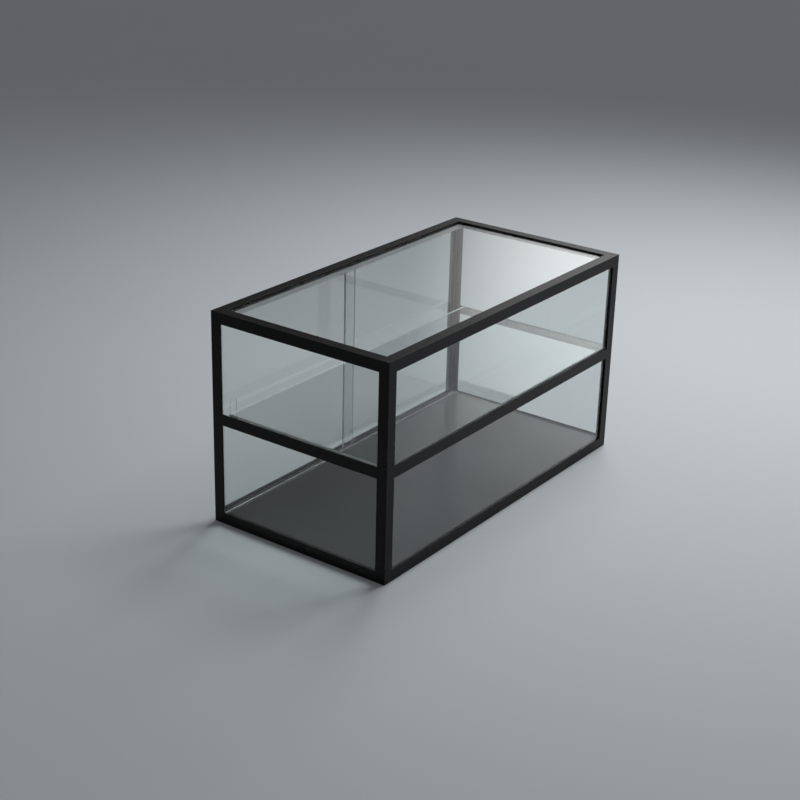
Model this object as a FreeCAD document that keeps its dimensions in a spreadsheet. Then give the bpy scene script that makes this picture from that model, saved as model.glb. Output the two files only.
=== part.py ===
import FreeCAD, Part
import math
import os
import re

import Sketcher
from FreeCAD import Placement, Rotation, Vector

# A low display cabinet: a welded frame of steel angle, glass on the top, the front
# and both ends, a glass shelf at half height, a black base board, and two sliding
# glass doors at the back.
#
# The origin is on the floor under the middle of the cabinet. +X runs to the right
# along the front, +Y runs to the back and +Z is up. Sizes are in millimetres.
#
# Each side of the cabinet has a frame of its own: its origin is on the floor at the
# side's left corner, seen from outside, X runs along the side, Y runs inwards from
# the outer face and Z is up. Pieces that lie across the whole cabinet use the
# front's frame.

# Driving dimensions, one cell of the sheet each
SIZES = {
    # the whole cabinet
    "cabinet_length": 900.0,
    "cabinet_depth": 465.0,
    "cabinet_height": 490.0,
    # steel angle of the posts and rings, and flat bar of the mid rails
    "angle_leg": 25.0,
    "angle_wall": 3.0,
    "mid_rail_level": 235.0,
    "mid_rail_height": 25.0,
    "mid_rail_wall": 3.0,
    # glass panes and the gaskets between them and the steel
    "pane_thickness": 4.0,
    "pane_arris": 0.4,
    "gasket_thickness": 0.5,
    "gasket_width": 12.0,
    "gasket_setback": 0.5,
    "seat_gap": 0.3,
    # glass shelf and the rests that carry it
    "shelf_thickness": 6.0,
    "shelf_rise": 3.0,
    "shelf_edge_gap": 0.5,
    "shelf_door_gap": 14.0,
    "rest_width": 6.0,
    "rest_height": 12.0,
    # base board
    "board_thickness": 18.0,
    "board_edge_gap": 0.5,
    "board_rebate": 6.0,
    # aluminium door tracks
    "track_wall": 1.5,
    "channel_width": 9.0,
    "upper_track_height": 15.0,
    "tape_width": 10.0,
    "tape_setback": 2.0,
    # sliding doors
    "door_thickness": 5.0,
    "door_overlap": 25.0,
    "door_end_gap": 1.0,
    "door_lift_margin": 1.0,
    "finger_groove_width": 20.0,
    "finger_groove_height": 80.0,
    "finger_groove_depth": 1.5,
    "finger_groove_inset": 35.0,
    # nylon shoes under the doors and guides on top of them
    "shoe_width": 8.0,
    "shoe_floor": 2.0,
    "shoe_height": 8.0,
    "shoe_length": 30.0,
    "shoe_inset": 25.0,
    "shoe_gap": 0.3,
    "guide_cap": 1.5,
    "guide_height": 6.0,
    # countersunk screws that hold the base board
    "board_screw_shank": 4.0,
    "board_screw_head": 8.0,
    "board_screw_length": 12.0,
    "board_screw_inset": 14.0,
    "board_screw_end_inset": 95.0,
    # countersunk screws that hold the lower track
    "track_screw_shank": 2.5,
    "track_screw_head": 5.0,
    "track_screw_length": 10.0,
    "track_screw_end_inset": 45.0,
    # what both kinds of screw share
    "screw_hole_gap": 0.05,
    "screw_hole_overrun": 0.5,
    "recess_width": 0.7,
    "recess_depth": 0.8,
}

# Sizes and places that follow from the driving dimensions
DERIVED = {
    "half_length": "cabinet_length / 2",
    "half_depth": "cabinet_depth / 2",
    "top_ring_level": "cabinet_height - angle_leg",
    "top_flange_level": "cabinet_height - angle_wall",
    # glass, from the outer faces of the steel inwards
    "pane_outer": "angle_wall + gasket_thickness",
    "pane_inner": "pane_outer + pane_thickness",
    "top_pane_level": "cabinet_height - pane_inner",
    "board_top": "angle_wall + board_thickness",
    "pane_top": "top_pane_level - seat_gap",
    "side_pane_start": "pane_inner + seat_gap",
    "side_pane_end": "cabinet_depth - pane_outer",
    # door tracks, from the front inwards
    "track_width": "3 * track_wall + 2 * channel_width",
    "track_back": "cabinet_depth - pane_outer",
    "track_front": "track_back - track_width",
    "track_start": "pane_inner + seat_gap",
    "track_length": "cabinet_length - 2 * track_start",
    "channel_pitch": "channel_width + track_wall",
    "front_channel": "track_front + track_wall + channel_width / 2",
    "rear_channel": "front_channel + channel_pitch",
    "lower_track_level": "board_top - board_rebate",
    "lower_track_floor": "lower_track_level + track_wall",
    "upper_track_ceiling": "pane_top - track_wall",
    # doors
    "door_width": "(cabinet_length + door_overlap) / 2 - pane_inner - door_end_gap",
    "left_door_start": "pane_inner + door_end_gap",
    "right_door_start": "cabinet_length - left_door_start - door_width",
    "shoe_level": "lower_track_floor + shoe_gap",
    "door_level": "shoe_level + shoe_floor",
    "door_lift": "angle_leg - shoe_level + door_lift_margin",
    "guide_top": "upper_track_ceiling - door_lift",
    "door_top": "guide_top - guide_cap",
    "shoe_spacing": "door_width - 2 * shoe_inset - shoe_length",
    # shelf
    "shelf_top": "mid_rail_level + mid_rail_height + shelf_rise",
    "shelf_level": "shelf_top - shelf_thickness",
    "shelf_edge": "pane_inner + shelf_edge_gap",
    "shelf_back": "track_front - shelf_door_gap",
    # screws, in rows that are centred on their sides
    "end_screw_inset": "half_depth / 2",
    "track_screw_start": "track_start + track_screw_end_inset",
}

# The corner of the cabinet that each side's frame starts from. Each side is a quarter turn
# after the one before it
QUARTER_TURN = 90
SIDES = {
    "front": ("-half_length", "-half_depth"),
    "right": ("half_length", "-half_depth"),
    "back": ("half_length", "half_depth"),
    "left": ("-half_length", "half_depth"),
}
RUNS = {
    "front": "cabinet_length",
    "right": "cabinet_depth",
    "back": "cabinet_length",
    "left": "cabinet_depth",
}
CORNER_AT_START = {
    "front": "front_left",
    "right": "front_right",
    "back": "back_right",
    "left": "back_left",
}

# Screws in each row
LONG_ROW_COUNT = 3
SHORT_ROW_COUNT = 2
TRACK_ROW_COUNT = 4
COUNTERSINK_ANGLE = 90

doc = FreeCAD.newDocument("display_cabinet")
subparts = []


def bound(formula):
    """The formula with each size named as a cell of its sheet."""
    def cell(word):
        name = word.group()
        return ("Sizes." if name in SIZES else "Derived.") + name
    return re.sub("[a-z_]+", cell, formula)


def make_sheet(name, cells):
    """Put the cells into a spreadsheet, each under its own alias."""
    sheet = doc.addObject("Spreadsheet::Sheet", name)
    for row, (alias, content) in enumerate(cells.items(), start=1):
        sheet.set("A%d" % row, alias)
        sheet.set("B%d" % row, content)
        sheet.setAlias("B%d" % row, alias)
    return sheet


def new_body(label, side="front"):
    """An empty body in the frame of one side of the cabinet."""
    corner_x, corner_y = SIDES[side]
    turn = QUARTER_TURN * list(SIDES).index(side)
    body = doc.addObject("PartDesign::Body", label)
    body.AllowCompound = True
    body.Placement = Placement(Vector(), Rotation(Vector(0, 0, 1), turn))
    body.setExpression("Placement.Base.x", bound(corner_x))
    body.setExpression("Placement.Base.y", bound(corner_y))
    return body


def new_piece(label, side="front"):
    """A body that is a sub-part of its own."""
    body = new_body(label, side)
    subparts.append(body)
    return body


def new_sketch(body, role, offset):
    """A sketch on one of the body's origin planes, moved along the plane's normal."""
    planes = [feature for feature in body.Origin.OriginFeatures if feature.Role == role]
    sketch = body.newObject("Sketcher::SketchObject", body.Name + "_sketch")
    sketch.AttachmentSupport = (planes[0], [""])
    sketch.MapMode = "FlatFace"
    sketch.setExpression("AttachmentOffset.Base.z", bound(offset))
    return sketch


def pin(sketch, element, point, x, y):
    """Dimension one point of the sketch from the sketch's origin."""
    drawn = sketch.getPoint(element, point)
    for direction, formula, value in (("DistanceX", x, drawn.x), ("DistanceY", y, drawn.y)):
        link = Sketcher.Constraint(direction, -1, 1, element, point, value)
        index = sketch.addConstraint(link)
        sketch.setExpression("Constraints[%d]" % index, bound(formula))


def draw_polygon(sketch, corners):
    """A closed polygon through corners given as pairs of formulas."""
    count = len(corners)
    first = sketch.GeometryCount
    unit_points = []
    for index in range(count):
        angle = 2 * math.pi * index / count
        unit_points.append(Vector(math.cos(angle), math.sin(angle), 0))
    for index in range(count):
        line = Part.LineSegment(unit_points[index], unit_points[(index + 1) % count])
        sketch.addGeometry(line, False)
    for index, (x, y) in enumerate(corners):
        following = first + (index + 1) % count
        sketch.addConstraint(Sketcher.Constraint("Coincident", first + index, 2, following, 1))
        pin(sketch, first + index, 1, x, y)


def draw_rectangle(sketch, low, high):
    """A rectangle between two opposite corners."""
    (low_x, low_y), (high_x, high_y) = low, high
    draw_polygon(sketch, [(low_x, low_y), (high_x, low_y), (high_x, high_y), (low_x, high_y)])


def draw_circle(sketch, x, y, diameter):
    """A circle with its centre and its diameter dimensioned."""
    circle = sketch.addGeometry(Part.Circle(Vector(), Vector(0, 0, 1), 1), False)
    pin(sketch, circle, 3, x, y)
    index = sketch.addConstraint(Sketcher.Constraint("Radius", circle, 1))
    sketch.setExpression("Constraints[%d]" % index, bound("(%s) / 2" % diameter))


def extrude(body, kind, sketch, length, reverse=False):
    """A pad or a pocket of the sketch."""
    feature = body.newObject("PartDesign::" + kind, body.Name + "_" + kind.lower())
    feature.Profile = sketch
    feature.Reversed = reverse
    feature.setExpression("Length", bound(length))
    return feature


def pad_block(body, low, high, level, height):
    """A block between two corners in plan, standing on a level."""
    sketch = new_sketch(body, "XY_Plane", level)
    draw_rectangle(sketch, low, high)
    return extrude(body, "Pad", sketch, height)


def break_edges(body, feature, size):
    """A small chamfer along every edge of the feature."""
    chamfer = body.newObject("PartDesign::Chamfer", body.Name + "_arris")
    chamfer.Base = (feature, [""])
    chamfer.UseAllEdges = True
    chamfer.setExpression("Size", bound(size))
    return chamfer


def repeat_along_x(body, features, spacing, count):
    """The features repeated in a row along the body's X axis."""
    axes = [feature for feature in body.Origin.OriginFeatures if feature.Role == "X_Axis"]
    pattern = body.newObject("PartDesign::LinearPattern", body.Name + "_row")
    pattern.Originals = features
    pattern.Direction = (axes[0], [""])
    pattern.Mode = "Extent"
    pattern.Occurrences = count
    pattern.setExpression("Length", bound("(%s) * %d" % (spacing, count - 1)))
    body.Tip = pattern
    return pattern


def row_places(start, end, count):
    """Formulas for evenly spaced places from a start to an end."""
    step = "((%s) - (%s)) / %d" % (end, start, count - 1)
    return ["(%s) + %d * %s" % (start, index, step) for index in range(count)]


def from_front(side, start, end):
    """A stretch measured back from the cabinet's front, in the frame of an end side."""
    if side == "left":
        return "cabinet_depth - (%s)" % end, "cabinet_depth - (%s)" % start
    return start, end


def make_post(side):
    """A post of steel angle at the side's first corner, heel outwards."""
    body = new_piece("post_" + CORNER_AT_START[side], side)
    sketch = new_sketch(body, "XY_Plane", "angle_leg")
    draw_polygon(sketch, [
        ("0", "0"),
        ("angle_leg", "0"),
        ("angle_leg", "angle_wall"),
        ("angle_wall", "angle_wall"),
        ("angle_wall", "angle_leg"),
        ("0", "angle_leg"),
    ])
    extrude(body, "Pad", sketch, "cabinet_height - 2 * angle_leg")


def pad_mitred(body, run, width, level, height):
    """A bar along the side's outer face, cut at 45 degrees at both ends."""
    sketch = new_sketch(body, "XY_Plane", level)
    draw_polygon(sketch, [
        ("0", "0"),
        (run, "0"),
        ("%s - %s" % (run, width), width),
        (width, width),
    ])
    return extrude(body, "Pad", sketch, height)


def board_screw_places(side):
    """Where the base board's screws go along one side's bottom rail."""
    if side in ("front", "back"):
        inset = "board_screw_end_inset"
        count = LONG_ROW_COUNT
    else:
        inset = "end_screw_inset"
        count = SHORT_ROW_COUNT
    return row_places(inset, "%s - %s" % (RUNS[side], inset), count)


def make_top_rail(side):
    """A rail of the top ring: leg outside, flange on top over the glass."""
    body = new_piece("top_rail_" + side, side)
    pad_mitred(body, RUNS[side], "angle_wall", "top_ring_level", "angle_leg")
    pad_mitred(body, RUNS[side], "angle_leg", "top_flange_level", "angle_wall")


def make_bottom_rail(side):
    """A rail of the bottom ring: leg outside, flange below with countersunk holes."""
    body = new_piece("bottom_rail_" + side, side)
    pad_mitred(body, RUNS[side], "angle_wall", "0", "angle_leg")
    pad_mitred(body, RUNS[side], "angle_leg", "0", "angle_wall")
    sketch = new_sketch(body, "XY_Plane", "0")
    for place in board_screw_places(side):
        draw_circle(sketch, place, "board_screw_inset", "board_screw_shank")
    countersink(body, sketch, "board_screw", reverse=True)


def countersink(body, sketch, screw, reverse):
    """Countersunk through holes for one kind of screw at the sketch's circles."""
    doc.recompute()
    hole = body.newObject("PartDesign::Hole", body.Name + "_holes")
    hole.Profile = sketch
    hole.Reversed = reverse
    hole.Threaded = False
    hole.DepthType = "ThroughAll"
    hole.HoleCutType = "Countersink"
    hole.HoleCutCustomValues = True
    hole.HoleCutCountersinkAngle = COUNTERSINK_ANGLE
    hole.setExpression("Diameter", bound(screw + "_shank + 2 * screw_hole_gap"))
    hole.setExpression("HoleCutDiameter", bound(screw + "_head + 2 * screw_hole_gap"))
    return hole


def make_mid_rail(side):
    """A flat bar between two posts at half height, flush with the outer faces."""
    body = new_piece("mid_rail_" + side, side)
    low = ("angle_leg", "0")
    high = (RUNS[side] + " - angle_leg", "mid_rail_wall")
    pad_block(body, low, high, "mid_rail_level", "mid_rail_height")


def make_pane(side):
    """A full-height glass pane behind the steel of one side."""
    body = new_piece("pane_" + side, side)
    if side == "front":
        start, end = "pane_outer", "cabinet_length - pane_outer"
    else:
        start, end = from_front(side, "side_pane_start", "side_pane_end")
    sheet = pad_block(body, (start, "pane_outer"), (end, "pane_inner"),
                      "board_top", "pane_top - board_top")
    break_edges(body, sheet, "pane_arris")


def make_gasket(side):
    """A thin gasket between one side's pane and the steel in front of it."""
    body = new_piece("gasket_" + side, side)
    if side == "front":
        start, end = "pane_outer", "cabinet_length - pane_outer"
    else:
        start, end = from_front(side, "side_pane_start", "side_pane_end")
    left = "%s + gasket_width" % start
    right = "%s - gasket_width" % end
    strip_middle = "mid_rail_level + mid_rail_height / 2"
    sketch = new_sketch(body, "XZ_Plane", "-pane_outer")
    draw_rectangle(sketch, (start, "board_top"), (end, "pane_top"))
    draw_rectangle(sketch, (left, "angle_leg - gasket_setback"),
                   (right, strip_middle + " - gasket_width / 2"))
    draw_rectangle(sketch, (left, strip_middle + " + gasket_width / 2"),
                   (right, "pane_top - gasket_width"))
    extrude(body, "Pad", sketch, "gasket_thickness")


def make_top_pane():
    """The top glass, under the flange of the top ring."""
    body = new_piece("pane_top")
    low = ("pane_outer", "pane_outer")
    high = ("cabinet_length - pane_outer", "cabinet_depth - pane_outer")
    sheet = pad_block(body, low, high, "top_pane_level", "pane_thickness")
    break_edges(body, sheet, "pane_arris")


def make_top_gasket():
    """A thin gasket between the top glass and the flange of the top ring."""
    body = new_piece("gasket_top")
    sketch = new_sketch(body, "XY_Plane", "cabinet_height - pane_outer")
    for inset in ("pane_outer", "pane_outer + gasket_width"):
        low = (inset, inset)
        high = ("cabinet_length - (%s)" % inset, "cabinet_depth - (%s)" % inset)
        draw_rectangle(sketch, low, high)
    extrude(body, "Pad", sketch, "gasket_thickness")


def make_shelf():
    """The glass shelf, which stops short of the doors."""
    body = new_piece("shelf_glass")
    low = ("shelf_edge", "shelf_edge")
    high = ("cabinet_length - shelf_edge", "shelf_back")
    sheet = pad_block(body, low, high, "shelf_level", "shelf_thickness")
    break_edges(body, sheet, "pane_arris")


def make_shelf_rest(side):
    """A clear strip bonded to the glass behind the mid rail, which carries the shelf."""
    body = new_piece("shelf_rest_" + side, side)
    if side == "front":
        start, end = "pane_inner", "cabinet_length - pane_inner"
    else:
        start, end = from_front(side, "pane_inner + rest_width", "shelf_back")
    pad_block(body, (start, "pane_inner"), (end, "pane_inner + rest_width"),
              "shelf_level - rest_height", "rest_height")


def make_base_board():
    """The base board on the bottom ring, rebated for the lower track, with screw holes."""
    body = new_piece("base_board")
    edge = "angle_wall + board_edge_gap"
    low = (edge, edge)
    high = ("cabinet_length - (%s)" % edge, "cabinet_depth - (%s)" % edge)
    pad_block(body, low, high, "angle_wall", "board_thickness")
    rebate = new_sketch(body, "XY_Plane", "board_top")
    draw_rectangle(rebate, ("pane_inner", "track_front - seat_gap"),
                   ("cabinet_length - pane_inner", "cabinet_depth"))
    extrude(body, "Pocket", rebate, "board_rebate")
    rising = new_sketch(body, "XY_Plane", "angle_wall")
    for side in SIDES:
        for place in board_screw_places(side):
            x, y = in_front_frame(side, place, "board_screw_inset")
            draw_circle(rising, x, y, "board_screw_shank + 2 * screw_hole_gap")
    extrude(body, "Pocket", rising, "board_screw_length - angle_wall + screw_hole_overrun",
            reverse=True)
    falling = new_sketch(body, "XY_Plane", "lower_track_level")
    for place in track_screw_places():
        draw_circle(falling, place, "front_channel", "track_screw_shank + 2 * screw_hole_gap")
    extrude(body, "Pocket", falling, "track_screw_length - track_wall + screw_hole_overrun")


def in_front_frame(side, x, y):
    """A place in a side's frame, given in the front's frame."""
    if side == "front":
        return x, y
    if side == "right":
        return "cabinet_length - (%s)" % y, x
    if side == "back":
        return "cabinet_length - (%s)" % x, "cabinet_depth - (%s)" % y
    return y, "cabinet_depth - (%s)" % x


def track_screw_places():
    """Where the lower track's screws go along the front channel."""
    return row_places("track_screw_start", "cabinet_length - track_screw_start", TRACK_ROW_COUNT)


def pad_track(body, back_level, floor_level, lip_level):
    """A double channel: a web with three ribs, swept along the cabinet."""
    sketch = new_sketch(body, "YZ_Plane", "track_start")
    corners = [("track_front", back_level), ("track_back", back_level)]
    for rib in (2, 1, 0):
        rib_front = "track_front + %d * channel_pitch" % rib
        rib_back = rib_front + " + track_wall"
        corners.append((rib_back, floor_level if rib < 2 else lip_level))
        if rib < 2:
            corners.append((rib_back, lip_level))
        corners.append((rib_front, lip_level))
        if rib > 0:
            corners.append((rib_front, floor_level))
    draw_polygon(sketch, corners)
    return extrude(body, "Pad", sketch, "track_length")


def make_upper_track():
    """The upper track hangs under the top glass, open downwards."""
    body = new_piece("upper_door_track")
    pad_track(body, "pane_top", "upper_track_ceiling", "pane_top - upper_track_height")


def make_lower_track():
    """The lower track lies in the board's rebate, flush with the bottom ring's legs."""
    body = new_piece("lower_door_track")
    pad_track(body, "lower_track_level", "lower_track_floor", "angle_leg")
    sketch = new_sketch(body, "XY_Plane", "lower_track_floor")
    for place in track_screw_places():
        draw_circle(sketch, place, "front_channel", "track_screw_shank")
    countersink(body, sketch, "track_screw", reverse=False)


def make_track_tape():
    """Bonding tape between the upper track and the back top rail."""
    body = new_piece("upper_track_tape")
    low = ("track_start", "track_back")
    high = ("cabinet_length - track_start", "cabinet_depth - angle_wall")
    pad_block(body, low, high, "pane_top - tape_setback - tape_width", "tape_width")


def make_door(side, start, channel, groove_x):
    """A sliding door's glass, with a finger groove ground into its rear face."""
    body = new_piece("door_glass_" + side)
    rear_face = channel + " + door_thickness / 2"
    low = (start, channel + " - door_thickness / 2")
    high = (start + " + door_width", rear_face)
    sheet = pad_block(body, low, high, "door_level", "door_top - door_level")
    break_edges(body, sheet, "pane_arris")
    sketch = new_sketch(body, "XZ_Plane", "-(%s)" % rear_face)
    middle = "(door_level + door_top) / 2"
    reach = "(finger_groove_height - finger_groove_width) / 2"
    draw_slot(sketch, groove_x, "%s - %s" % (middle, reach), "%s + %s" % (middle, reach),
              "finger_groove_width / 2")
    extrude(body, "Pocket", sketch, "finger_groove_depth", reverse=True)


def draw_slot(sketch, x, low, high, radius):
    """An upright slot with round ends about two centres."""
    upper = Part.ArcOfCircle(Part.Circle(Vector(0, 1, 0), Vector(0, 0, 1), 1), 0, math.pi)
    lower = Part.ArcOfCircle(Part.Circle(Vector(0, -1, 0), Vector(0, 0, 1), 1),
                             math.pi, 2 * math.pi)
    left = Part.LineSegment(Vector(-1, 1, 0), Vector(-1, -1, 0))
    right = Part.LineSegment(Vector(1, -1, 0), Vector(1, 1, 0))
    for shape in (upper, left, lower, right):
        sketch.addGeometry(shape, False)
    for element in range(4):
        following = (element + 1) % 4
        sketch.addConstraint(Sketcher.Constraint("Coincident", element, 2, following, 1))
    for arc, centre, start in ((0, high, "%s + %s"), (2, low, "%s - %s")):
        pin(sketch, arc, 3, x, centre)
        pin(sketch, arc, 1, start % (x, radius), centre)
        sketch.addConstraint(Sketcher.Constraint("Horizontal", arc, 2, arc, 3))


def make_door_clips(label, start, channel, outer_level, glass_level, rim_level):
    """Two channel-shaped nylon clips on one edge of a door's glass."""
    body = new_piece(label)
    sketch = new_sketch(body, "YZ_Plane", start + " + shoe_inset")
    outer = "shoe_width / 2"
    inner = "door_thickness / 2"
    draw_polygon(sketch, [
        ("%s - %s" % (channel, outer), outer_level),
        ("%s + %s" % (channel, outer), outer_level),
        ("%s + %s" % (channel, outer), rim_level),
        ("%s + %s" % (channel, inner), rim_level),
        ("%s + %s" % (channel, inner), glass_level),
        ("%s - %s" % (channel, inner), glass_level),
        ("%s - %s" % (channel, inner), rim_level),
        ("%s - %s" % (channel, outer), rim_level),
    ])
    clip = extrude(body, "Pad", sketch, "shoe_length")
    repeat_along_x(body, [clip], "shoe_spacing", 2)


def make_screw_row(name, side, screw, start, spacing, count, y, head_level, points_up):
    """A row of countersunk screws, each turned about its axis and cross recessed."""
    body = new_body(name, side)
    shank = screw + "_shank / 2"
    head = screw + "_head / 2"
    direction = "" if points_up else "-"
    tip_level = "%s%s_length" % (direction, screw)
    neck_level = "%s(%s - %s)" % (direction, head, shank)
    body.setExpression("Placement.Base.z", bound(head_level))
    profile = new_sketch(body, "XZ_Plane", "-(%s)" % y)
    corners = [("0", "0"), (head, "0"), (shank, neck_level), (shank, tip_level), ("0", tip_level)]
    draw_polygon(profile, [("(%s) + %s" % (start, x), z) for x, z in corners])
    doc.recompute()
    turned = body.newObject("PartDesign::Revolution", name + "_turned")
    turned.Profile = profile
    turned.ReferenceAxis = (profile, ["Edge%d" % len(corners)])
    turned.Angle = 360
    recess = new_sketch(body, "XY_Plane", "0")
    arm = screw + "_head / 4"
    half = "recess_width / 2"
    draw_polygon(recess, cross_corners(start, y, arm, half))
    cut = extrude(body, "Pocket", recess, "recess_depth", reverse=points_up)
    repeat_along_x(body, [turned, cut], spacing, count)
    return body


def cross_corners(x, y, arm, half):
    """Corners of a plus sign about a place."""
    offsets = [
        ("-", half, "-", arm), ("+", half, "-", arm), ("+", half, "-", half),
        ("+", arm, "-", half), ("+", arm, "+", half), ("+", half, "+", half),
        ("+", half, "+", arm), ("-", half, "+", arm), ("-", half, "+", half),
        ("-", arm, "+", half), ("-", arm, "-", half), ("-", half, "-", half),
    ]
    corners = []
    for x_sign, x_step, y_sign, y_step in offsets:
        corners.append(("(%s) %s %s" % (x, x_sign, x_step), "(%s) %s %s" % (y, y_sign, y_step)))
    return corners


def make_board_screws():
    """Screws up through the bottom ring into the base board, one row on each side."""
    rows = []
    for side in SIDES:
        places = board_screw_places(side)
        spacing = "(%s) - (%s)" % (places[1], places[0])
        row = make_screw_row("board_screw_row_" + side, side, "board_screw", places[0], spacing,
                             len(places), "board_screw_inset", "0", True)
        rows.append(row)
    group = doc.addObject("Part::Compound", "base_board_screws")
    group.Links = rows
    subparts.append(group)


def make_track_screws():
    """Screws down through the lower track's front channel into the base board."""
    places = track_screw_places()
    spacing = "(%s) - (%s)" % (places[1], places[0])
    row = make_screw_row("lower_track_screws", "front", "track_screw", places[0], spacing,
                         len(places), "front_channel", "lower_track_floor", False)
    subparts.append(row)


def make_cabinet():
    """Every sub-part, from the frame inwards."""
    for side in SIDES:
        make_post(side)
        make_top_rail(side)
        make_bottom_rail(side)
    for side in ("front", "left", "right"):
        make_mid_rail(side)
        make_pane(side)
        make_gasket(side)
        make_shelf_rest(side)
    make_top_pane()
    make_top_gasket()
    make_shelf()
    make_base_board()
    make_board_screws()
    make_upper_track()
    make_track_tape()
    make_lower_track()
    make_track_screws()
    doors = (
        ("left", "left_door_start", "front_channel", "left_door_start + finger_groove_inset"),
        ("right", "right_door_start", "rear_channel",
         "right_door_start + door_width - finger_groove_inset"),
    )
    for side, start, channel, groove_x in doors:
        make_door(side, start, channel, groove_x)
        make_door_clips("door_shoes_" + side, start, channel,
                        "shoe_level", "door_level", "shoe_level + shoe_height")
        make_door_clips("door_guides_" + side, start, channel,
                        "guide_top", "door_top", "guide_top - guide_height")


def check_document():
    """Stop if any object failed or any sub-part has no sound shape."""
    for item in doc.Objects:
        if "Invalid" in item.State or "Error" in item.State:
            raise RuntimeError("%s failed: %s" % (item.Name, item.State))
    for item in subparts:
        if item.Shape.isNull() or not item.Shape.isValid():
            raise RuntimeError("%s has no sound shape" % item.Label)


make_sheet("Sizes", {alias: str(value) for alias, value in SIZES.items()})
make_sheet("Derived", {alias: "=" + bound(formula) for alias, formula in DERIVED.items()})
doc.recompute()
make_cabinet()
doc.recompute()
check_document()

os.makedirs("parts", exist_ok=True)
for item in subparts:
    item.Shape.exportStep("parts/%s.step" % item.Label)
    print("%-22s %2d solids %12.1f mm3" % (item.Label, len(item.Shape.Solids), item.Shape.Volume))
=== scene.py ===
import math
from functools import reduce

import bpy
from mathutils import Matrix, Vector


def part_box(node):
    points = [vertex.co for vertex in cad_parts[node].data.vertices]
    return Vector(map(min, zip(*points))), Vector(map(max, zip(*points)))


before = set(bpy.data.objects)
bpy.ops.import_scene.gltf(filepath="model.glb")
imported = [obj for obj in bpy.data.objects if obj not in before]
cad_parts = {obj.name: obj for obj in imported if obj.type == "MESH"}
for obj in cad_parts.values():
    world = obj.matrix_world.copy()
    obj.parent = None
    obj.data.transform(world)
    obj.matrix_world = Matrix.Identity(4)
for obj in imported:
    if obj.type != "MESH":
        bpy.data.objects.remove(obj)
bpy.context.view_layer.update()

# The camera, solved from the cabinet's eight outer corners in the photograph
CAMERA_PLACE = Vector((-2.7764, -1.9400, 1.6344))
CAMERA_YAW = math.radians(54.16)
CAMERA_PITCH = math.radians(22.93)
CAMERA_ROLL = math.radians(1.50)
CAMERA_LENS = 72.459
CAMERA_REACH = 200.0
SENSOR_WIDTH = 36.0

# The floor, whose colour is a little darker here and there
FLOOR_SIDE = 120.0
FLOOR_COLOUR = (0.430, 0.455, 0.480)
FLOOR_DARKER = 0.985

# The sky: a broad light at the side, a soft one overhead, and dim elsewhere. The edges are where
# a light begins and where it is full, as the cosine of the angle from its middle
SIDE_LIGHT_TOWARDS = Vector((0.9089, 0.2606, 0.3256))
SIDE_LIGHT_EDGES = (0.945, 0.985)
SIDE_LIGHT_BRIGHT = 1.8
OVERHEAD_EDGES = (0.60, 0.92)
OVERHEAD_BRIGHT = 0.32
ELSEWHERE_BRIGHT = 0.09

# The lamp
LAMP_PLACE = Vector((2.00, -0.20, 2.90))
LAMP_AIM = Vector((0.60, -0.30, 0.0))
LAMP_SPREAD = math.radians(120.0)
LAMP_DIAMETER = 2.4
LAMP_POWER = 54.0

# How strongly glass and clear acrylic bend light
GLASS_IOR = 1.5
ACRYLIC_IOR = 1.49

# A glass face looks along its pane's axis at least this much, and an edge less
FACE_LIMIT = 0.93

# The colours of glass: through its faces, in the shadow that it casts, on its ground edges and
# on the shelf's open edge
GLASS_TONES = ((0.915, 0.945, 0.937), (0.935, 0.957, 0.950))
SHADOW_TONE = (0.955, 0.968, 0.964, 1.0)
EDGE_TONES = ((0.720, 0.840, 0.810), (0.800, 0.890, 0.865))
OPEN_EDGE_TONE = (0.760, 0.865, 0.838)

# How clear ground edges are, and the painted light on them: an edge's colour is darkened as painted
# shade by how much light reaches it
PANE_EDGE_CLEARNESS = 0.6
SHELF_EDGE_CLEARNESS = 0.2
SEALED_EDGE_CLEARNESS = 0.0
OPEN_EDGE_PAINTED_LIGHT = 1.0
DOOR_EDGE_PAINTED_LIGHT = 0.6
SHELF_EDGE_PAINTED_LIGHT = 0.35
SEALED_EDGE_PAINTED_LIGHT = 0.02

# The dull black painted in the lower track as painted shade in its channels, and on the upper
# track's top and in a line along its front
BLACKENED_TONE = (0.014, 0.014, 0.015)
BLACKENED_ROUGHNESS = 0.62

# Small edges are rounded by the shading, with this many samples
BEVEL_SAMPLES = 6

# Sizes of the places that have a finish of their own, in metres. A place reaches past the
# outside of its piece by the margin
MARGIN = Vector((0.001, 0.001, 0.001))
BARE_RIB_DEPTH = 0.0013
BLACKENED_TOP_THICKNESS = 0.0007
BLACKENED_LINE_HEIGHT = 0.0042
BLACKENED_LINE_DEPTH = 0.0005
OPEN_EDGE_WIDTH = 0.0020
GROOVE_INSET = 0.0350
GROOVE_HALF_WIDTH = 0.0115
GROOVE_HALF_HEIGHT = 0.0445
GROOVE_DEPTH = 0.0022
GROOVE_RIM = 0.0001


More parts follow.
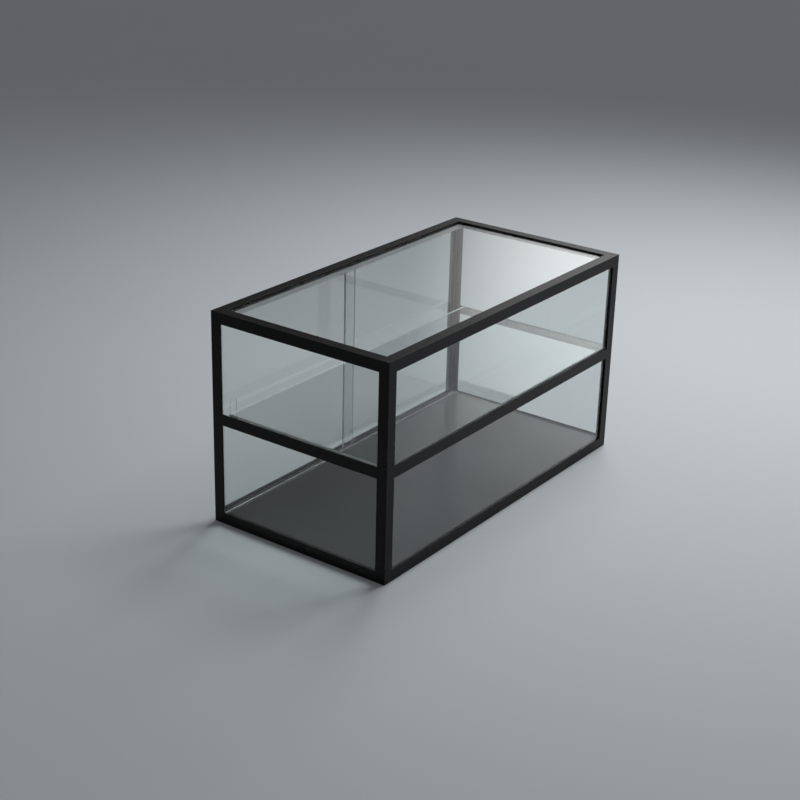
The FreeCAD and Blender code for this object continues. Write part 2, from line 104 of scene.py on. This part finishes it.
class Nodes:
    """The nodes of a material or a world, made and linked by short calls."""

    def __init__(self, owner, output):
        self.owner = owner
        owner.use_nodes = True
        self.tree = owner.node_tree
        self.tree.nodes.clear()
        self.output = self.add(output)

    def add(self, kind, **settings):
        node = self.tree.nodes.new(kind)
        for name, value in settings.items():
            setattr(node, name, value)
        return node

    def link(self, source, target):
        self.tree.links.new(source, target)

    def place(self, stretch=(1.0, 1.0, 1.0)):
        """The piece's own place in metres, stretched along its axes."""
        coordinates = self.add("ShaderNodeTexCoord")
        mapping = self.add("ShaderNodeMapping")
        mapping.inputs["Scale"].default_value = stretch
        self.link(coordinates.outputs["Object"], mapping.inputs["Vector"])
        return mapping.outputs["Vector"]

    def parts(self, vector):
        """The X, Y and Z of a vector, by their letters."""
        node = self.add("ShaderNodeSeparateXYZ")
        self.link(vector, node.inputs["Vector"])
        return node.outputs

    def noise(self, scale, detail=2.0, roughness=0.5, stretch=(1.0, 1.0, 1.0)):
        """Noise with that many waves to the metre. Nearly all of it lies between 0.3 and 0.7."""
        node = self.add("ShaderNodeTexNoise")
        node.inputs["Scale"].default_value = scale
        node.inputs["Detail"].default_value = detail
        node.inputs["Roughness"].default_value = roughness
        self.link(self.place(stretch), node.inputs["Vector"])
        return node.outputs["Fac"]

    def spread(self, value, low=0.0, high=1.0, limits=(0.3, 0.7), blend="LINEAR"):
        """Brings a value that lies between two limits to another range."""
        node = self.add("ShaderNodeMapRange", interpolation_type=blend)
        node.inputs["From Min"].default_value = limits[0]
        node.inputs["From Max"].default_value = limits[1]
        node.inputs["To Min"].default_value = low
        node.inputs["To Max"].default_value = high
        self.link(value, node.inputs["Value"])
        return node.outputs["Result"]

    def maths(self, operation, *values):
        node = self.add("ShaderNodeMath", operation=operation)
        for socket, value in zip(node.inputs, values):
            if isinstance(value, float):
                socket.default_value = value
            else:
                self.link(value, socket)
        return node.outputs["Value"]

    def joined(self, operation, values):
        """One value made from several, two at a time."""
        return reduce(lambda first, second: self.maths(operation, first, second), values)

    def inside(self, boxes):
        """1 within any of some boxes, each its lowest and highest corner, and 0 outside."""
        place = self.parts(self.place())
        found = []
        for box in boxes:
            sides = []
            for letter, low, high in zip("XYZ", *box):
                sides.append(self.maths("GREATER_THAN", place[letter], low))
                sides.append(self.maths("LESS_THAN", place[letter], high))
            found.append(self.joined("MULTIPLY", sides))
        return self.joined("MAXIMUM", found)

    def colours(self, factor, first, second):
        """The colour between two others that a factor picks."""
        node = self.add("ShaderNodeMix", data_type="RGBA")
        colours = [socket for socket in node.inputs if socket.type == "RGBA"]
        for socket, value in zip(colours, (first, second)):
            if isinstance(value, tuple):
                socket.default_value = (*value, 1.0)
            else:
                self.link(value, socket)
        self.link(factor, node.inputs["Factor"])
        return next(socket for socket in node.outputs if socket.type == "RGBA")

    def bump(self, height, strength, distance, normal=None):
        node = self.add("ShaderNodeBump")
        node.inputs["Strength"].default_value = strength
        node.inputs["Distance"].default_value = distance
        self.link(height, node.inputs["Height"])
        if normal is not None:
            self.link(normal, node.inputs["Normal"])
        return node.outputs["Normal"]

    def rounded(self, radius):
        """The normal of edges rounded by that radius."""
        node = self.add("ShaderNodeBevel", samples=BEVEL_SAMPLES)
        node.inputs["Radius"].default_value = radius
        return node.outputs["Normal"]

    def principled(self, **values):
        """The main shader. A plain value is set on its socket, and a socket is linked."""
        node = self.add("ShaderNodeBsdfPrincipled")
        for name, value in values.items():
            socket = node.inputs[name.replace("_", " ")]
            if isinstance(value, bpy.types.NodeSocket):
                self.link(value, socket)
            else:
                socket.default_value = value
        return node.outputs["BSDF"]

    def mixed(self, factor, first, second):
        """One shader or the other, as a factor picks."""
        node = self.add("ShaderNodeMixShader")
        for socket, value in zip(node.inputs, (factor, first, second)):
            self.link(value, socket)
        return node.outputs["Shader"]

    def finish(self, shader):
        self.link(shader, self.output.inputs["Surface"])
        return self.owner


def material_nodes(name):
    return Nodes(bpy.data.materials.new(name), "ShaderNodeOutputMaterial")


def dimmed(colour, light):
    return tuple(light * part for part in colour)


def black_steel():
    """Satin black paint on steel: fine orange peel, cloudy gloss and softly rounded edges."""
    nodes = material_nodes("black_steel_paint")
    clouds = nodes.spread(nodes.noise(scale=7.0, detail=4.0, roughness=0.6))
    gloss = nodes.noise(scale=34.0, detail=6.0, roughness=0.65)
    peel = nodes.noise(scale=620.0)
    return nodes.finish(nodes.principled(
        Base_Color=nodes.colours(clouds, (0.0050, 0.0050, 0.0054), (0.0080, 0.0078, 0.0075)),
        Roughness=nodes.spread(gloss, 0.25, 0.33),
        Normal=nodes.bump(peel, strength=0.10, distance=0.0004, normal=nodes.rounded(0.0007)),
        Specular_IOR_Level=0.15,
    ))


def clear_glass(name, axis, edge_clearness, painted_edge_light, grooves=(), open_edges=()):
    """Float glass across one axis, clear through its faces and milky on its ground edges.

    An edge's colour is darkened as painted shade where less light reaches it: where it stands in a
    track, lies behind a rail or is bedded in sealant.
    Grooves and open edges are boxes. The first are ground, and the second keep the undimmed tone of
    an edge in full light.
    """
    nodes = material_nodes(name)
    normal = nodes.parts(nodes.add("ShaderNodeNewGeometry").outputs["Normal"])
    edge = nodes.maths("LESS_THAN", nodes.maths("ABSOLUTE", normal[axis]), FACE_LIMIT)
    clouds = nodes.spread(nodes.noise(scale=5.0, detail=3.0))
    roughness = nodes.spread(nodes.noise(scale=60.0, detail=5.0, roughness=0.7), 0.0, 0.006)
    if grooves:
        ground = nodes.spread(nodes.noise(scale=900.0, detail=3.0, roughness=0.6), 0.12, 0.20)
        within = nodes.maths("MULTIPLY", nodes.inside(grooves), ground)
        roughness = nodes.maths("ADD", roughness, within)
    glass = nodes.principled(
        Base_Color=nodes.colours(clouds, *GLASS_TONES),
        Roughness=roughness,
        IOR=GLASS_IOR,
        Transmission_Weight=1.0,
    )
    scratches = nodes.spread(nodes.noise(scale=700.0, detail=4.0, roughness=0.6))
    # Painted shade: the ground edges' tones are dimmed by the painted edge light
    edge_colour = nodes.colours(scratches, *(dimmed(tone, painted_edge_light) for tone in EDGE_TONES))
    if open_edges:
        is_open = nodes.inside(open_edges)
        edge = nodes.maths("MAXIMUM", edge, is_open)
        edge_colour = nodes.colours(is_open, edge_colour, OPEN_EDGE_TONE)
    ground_edge = nodes.principled(
        Base_Color=edge_colour,
        Roughness=nodes.spread(scratches, 0.80, 0.92, limits=(0.0, 1.0)),
        IOR=GLASS_IOR,
        Transmission_Weight=edge_clearness,
    )
    clear = nodes.add("ShaderNodeBsdfTransparent")
    clear.inputs["Color"].default_value = SHADOW_TONE
    path = nodes.add("ShaderNodeLightPath").outputs
    straight = nodes.maths("MAXIMUM", path["Is Shadow Ray"], path["Is Diffuse Ray"])
    pane = nodes.mixed(edge, glass, ground_edge)
    return nodes.finish(nodes.mixed(straight, pane, clear.outputs["BSDF"]))


def clear_acrylic():
    """Clear acrylic bar, a little hazy from handling."""
    nodes = material_nodes("clear_acrylic_bar")
    tone = nodes.spread(nodes.noise(scale=40.0, detail=3.0))
    haze = nodes.noise(scale=220.0, detail=4.0, roughness=0.6)
    return nodes.finish(nodes.principled(
        Base_Color=nodes.colours(tone, (0.900, 0.910, 0.915), (0.960, 0.965, 0.965)),
        Roughness=nodes.spread(haze, 0.04, 0.12),
        IOR=ACRYLIC_IOR,
        Transmission_Weight=1.0,
    ))


def black_board():
    """Black laminate, half glossy, with faint wiping marks and a fine grain."""
    nodes = material_nodes("black_board_laminate")
    clouds = nodes.spread(nodes.noise(scale=4.0, detail=5.0, roughness=0.6))
    wiping = nodes.noise(scale=18.0, detail=5.0, roughness=0.65, stretch=(1.0, 3.0, 1.0))
    grain = nodes.noise(scale=1100.0)
    return nodes.finish(nodes.principled(
        Base_Color=nodes.colours(clouds, (0.0085, 0.0086, 0.0092), (0.0115, 0.0116, 0.0122)),
        Roughness=nodes.spread(wiping, 0.22, 0.26),
        Normal=nodes.bump(grain, strength=0.02, distance=0.0002, normal=nodes.rounded(0.0005)),
        Specular_IOR_Level=0.5,
    ))


def black_gasket():
    """Black glazing rubber, dull."""
    nodes = material_nodes("black_gasket_rubber")
    tone = nodes.spread(nodes.noise(scale=90.0, detail=4.0, roughness=0.6))
    bloom = nodes.noise(scale=260.0, detail=3.0, roughness=0.6)
    grain = nodes.noise(scale=1500.0)
    return nodes.finish(nodes.principled(
        Base_Color=nodes.colours(tone, (0.012, 0.012, 0.012), (0.026, 0.026, 0.026)),
        Roughness=nodes.spread(bloom, 0.62, 0.80),
        Normal=nodes.bump(grain, strength=0.15, distance=0.0003),
    ))


def anodised_aluminium(name, blackened):
    """Natural anodised aluminium, drawn along the track, and dull black within some boxes."""
    nodes = material_nodes(name)
    drawn = nodes.noise(scale=160.0, detail=4.0, roughness=0.6, stretch=(0.03, 4.0, 4.0))
    metal = nodes.colours(nodes.spread(drawn), (0.520, 0.530, 0.545), (0.640, 0.650, 0.660))
    # Dull black within the boxes: painted shade in the lower track, and a black top and front line
    # on the upper track
    black = nodes.inside(blackened)
    dull = nodes.maths("MULTIPLY", black, BLACKENED_ROUGHNESS)
    return nodes.finish(nodes.principled(
        Base_Color=nodes.colours(black, metal, BLACKENED_TONE),
        Metallic=nodes.maths("SUBTRACT", 1.0, black),
        Roughness=nodes.maths("MAXIMUM", nodes.spread(drawn, 0.30, 0.44), dull),
        Normal=nodes.bump(drawn, strength=0.12, distance=0.0002, normal=nodes.rounded(0.0003)),
    ))


def bonding_tape():
    """Grey acrylic foam tape with an open, dull surface."""
    nodes = material_nodes("bonding_tape_foam")
    cells = nodes.noise(scale=1300.0, detail=3.0, roughness=0.6)
    dullness = nodes.noise(scale=200.0, detail=3.0)
    return nodes.finish(nodes.principled(
        Base_Color=nodes.colours(nodes.spread(cells), (0.100, 0.102, 0.105), (0.170, 0.172, 0.175)),
        Roughness=nodes.spread(dullness, 0.82, 0.95),
        Normal=nodes.bump(cells, strength=0.3, distance=0.0003),
    ))


def nylon():
    """Black nylon with a soft moulded sheen."""
    nodes = material_nodes("nylon_moulded")
    tone = nodes.spread(nodes.noise(scale=120.0, detail=3.0))
    sheen = nodes.noise(scale=400.0, detail=3.0)
    grain = nodes.noise(scale=900.0)
    return nodes.finish(nodes.principled(
        Base_Color=nodes.colours(tone, (0.014, 0.014, 0.015), (0.024, 0.024, 0.025)),
        Roughness=nodes.spread(sheen, 0.40, 0.54),
        Normal=nodes.bump(grain, strength=0.08, distance=0.0003, normal=nodes.rounded(0.0003)),
    ))


def screw_steel():
    """Zinc-plated steel, faintly mottled."""
    nodes = material_nodes("screw_steel_zinc")
    tone = nodes.spread(nodes.noise(scale=350.0, detail=4.0, roughness=0.6))
    mottling = nodes.noise(scale=800.0, detail=3.0, roughness=0.6)
    grain = nodes.noise(scale=1500.0)
    return nodes.finish(nodes.principled(
        Base_Color=nodes.colours(tone, (0.560, 0.570, 0.590), (0.680, 0.685, 0.690)),
        Metallic=1.0,
        Roughness=nodes.spread(mottling, 0.24, 0.38),
        Normal=nodes.bump(grain, strength=0.06, distance=0.0002, normal=nodes.rounded(0.0002)),
    ))


def floor_material():
    """A pale matt floor with a barely seen unevenness."""
    nodes = material_nodes("studio_floor")
    tone = nodes.spread(nodes.noise(scale=1.3, detail=4.0))
    return nodes.finish(nodes.principled(
        Base_Color=nodes.colours(tone, dimmed(FLOOR_COLOUR, FLOOR_DARKER), FLOOR_COLOUR),
        Roughness=0.9,
        Specular_IOR_Level=0.2,
    ))


def painted_shade_track_boxes():
    """Painted shade in the lower track: the place behind the bare top of its front rib, painted
    dull black.
    """
    low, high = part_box("lower_door_track")
    start = low - MARGIN
    start.y = low.y + BARE_RIB_DEPTH
    return [(start, high + MARGIN)]


def blackened_top_boxes():
    """The upper track's whole top, and a line below it along the track's front, both painted dull
    black.
    """
    low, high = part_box("upper_door_track")
    top_start = low - MARGIN
    top_start.z = high.z - BLACKENED_TOP_THICKNESS
    line_start = low - MARGIN
    line_start.z = high.z - BLACKENED_LINE_HEIGHT
    line_end = high + MARGIN
    line_end.y = low.y + BLACKENED_LINE_DEPTH
    return [(top_start, high + MARGIN), (line_start, line_end)]


def open_edge_boxes():
    """The shelf's free back edge with its arrises."""
    low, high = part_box("shelf_glass")
    start = low - MARGIN
    start.y = high.y - OPEN_EDGE_WIDTH
    return [(start, high + MARGIN)]


def groove_boxes(side):
    """The finger groove at a door's outer end, without the rear face round it."""
    low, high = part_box("door_glass_" + side)
    middle = low.x + GROOVE_INSET if side == "left" else high.x - GROOVE_INSET
    height = (low.z + high.z) / 2
    start = (middle - GROOVE_HALF_WIDTH, high.y - GROOVE_DEPTH, height - GROOVE_HALF_HEIGHT)
    end = (middle + GROOVE_HALF_WIDTH, high.y - GROOVE_RIM, height + GROOVE_HALF_HEIGHT)
    return [(start, end)]


def door_glass(side):
    """The glass of a door, with its finger groove."""
    name = "clear_glass_%s_door" % side
    return clear_glass(name, "Y", PANE_EDGE_CLEARNESS, DOOR_EDGE_PAINTED_LIGHT, groove_boxes(side))


def dress_nodes():
    """Gives each node a finish of its own, or else the finish of its slot."""
    side_glass = clear_glass("clear_glass_side", "X", PANE_EDGE_CLEARNESS, OPEN_EDGE_PAINTED_LIGHT)
    own = {
        "upper_door_track": anodised_aluminium("anodised_aluminium_upper", blackened_top_boxes()),
        "lower_door_track": anodised_aluminium("anodised_aluminium_lower", painted_shade_track_boxes()),
        "pane_top": clear_glass(
            "clear_glass_top", "Z", SEALED_EDGE_CLEARNESS, SEALED_EDGE_PAINTED_LIGHT),
        "shelf_glass": clear_glass(
            "clear_glass_shelf", "Z", SHELF_EDGE_CLEARNESS, SHELF_EDGE_PAINTED_LIGHT,
            open_edges=open_edge_boxes()),
        "pane_left": side_glass,
        "pane_right": side_glass,
        "pane_front": clear_glass(
            "clear_glass_front", "Y", PANE_EDGE_CLEARNESS, OPEN_EDGE_PAINTED_LIGHT),
        "door_glass_left": door_glass("left"),
        "door_glass_right": door_glass("right"),
    }
    by_slot = {
        "black_steel": black_steel(),
        "black_board": black_board(),
        "black_gasket": black_gasket(),
        "screw_steel": screw_steel(),
        "nylon": nylon(),
        "clear_acrylic": clear_acrylic(),
        "bonding_tape": bonding_tape(),
    }
    for name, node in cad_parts.items():
        slot = node.material_slots[0]
        slot.material = own[name] if name in own else by_slot[slot.material.name]


def make_floor():
    """A wide, level floor, which is no part of the cabinet."""
    half = FLOOR_SIDE / 2
    mesh = bpy.data.meshes.new("studio_floor")
    corners = [(-half, -half, 0.0), (half, -half, 0.0), (half, half, 0.0), (-half, half, 0.0)]
    mesh.from_pydata(corners, [], [(0, 1, 2, 3)])
    mesh.materials.append(floor_material())
    floor = bpy.data.objects.new("studio_floor", mesh)
    bpy.context.scene.collection.objects.link(floor)


def make_sky():
    """A soft studio: a broad light beyond the cabinet's right end, and a soft one overhead."""
    nodes = Nodes(bpy.data.worlds.new("studio"), "ShaderNodeOutputWorld")
    direction = nodes.add("ShaderNodeTexCoord").outputs["Generated"]
    nearness = nodes.add("ShaderNodeVectorMath", operation="DOT_PRODUCT")
    nearness.inputs[1].default_value = SIDE_LIGHT_TOWARDS
    nodes.link(direction, nearness.inputs[0])
    side_light = nodes.spread(
        nearness.outputs["Value"], ELSEWHERE_BRIGHT, SIDE_LIGHT_BRIGHT,
        limits=SIDE_LIGHT_EDGES, blend="SMOOTHSTEP")
    overhead = nodes.spread(
        nodes.parts(direction)["Z"], 0.0, OVERHEAD_BRIGHT,
        limits=OVERHEAD_EDGES, blend="SMOOTHSTEP")
    background = nodes.add("ShaderNodeBackground")
    background.inputs["Color"].default_value = (1.0, 1.0, 1.0, 1.0)
    nodes.link(nodes.maths("ADD", side_light, overhead), background.inputs["Strength"])
    bpy.context.scene.world = nodes.finish(background.outputs["Background"])


def make_lamp():
    """One wide, soft lamp from the right and above. No glass mirrors it towards the camera."""
    data = bpy.data.lights.new("soft_lamp", "AREA")
    data.shape = "DISK"
    data.size = LAMP_DIAMETER
    data.spread = LAMP_SPREAD
    data.energy = LAMP_POWER
    lamp = bpy.data.objects.new("soft_lamp", data)
    lamp.location = LAMP_PLACE
    lamp.rotation_euler = (LAMP_PLACE - LAMP_AIM).to_track_quat("Z", "Y").to_euler()
    bpy.context.scene.collection.objects.link(lamp)


def make_camera():
    """The camera from its place, yaw to the right of +Y, pitch down and roll."""
    forward = Vector((
        math.sin(CAMERA_YAW) * math.cos(CAMERA_PITCH),
        math.cos(CAMERA_YAW) * math.cos(CAMERA_PITCH),
        -math.sin(CAMERA_PITCH),
    ))
    level = Vector((math.cos(CAMERA_YAW), -math.sin(CAMERA_YAW), 0.0))
    upright = level.cross(forward)
    right = math.cos(CAMERA_ROLL) * level + math.sin(CAMERA_ROLL) * upright
    up = -math.sin(CAMERA_ROLL) * level + math.cos(CAMERA_ROLL) * upright
    data = bpy.data.cameras.new("camera")
    data.lens = CAMERA_LENS
    data.sensor_width = SENSOR_WIDTH
    data.clip_end = CAMERA_REACH
    camera = bpy.data.objects.new("camera", data)
    turn = Matrix((right, up, -forward)).transposed()
    camera.matrix_world = Matrix.Translation(CAMERA_PLACE) @ turn.to_4x4()
    bpy.context.scene.collection.objects.link(camera)
    bpy.context.scene.camera = camera


dress_nodes()
make_floor()
make_sky()
make_lamp()
make_camera()
bpy.context.scene.view_settings.view_transform = "Standard"
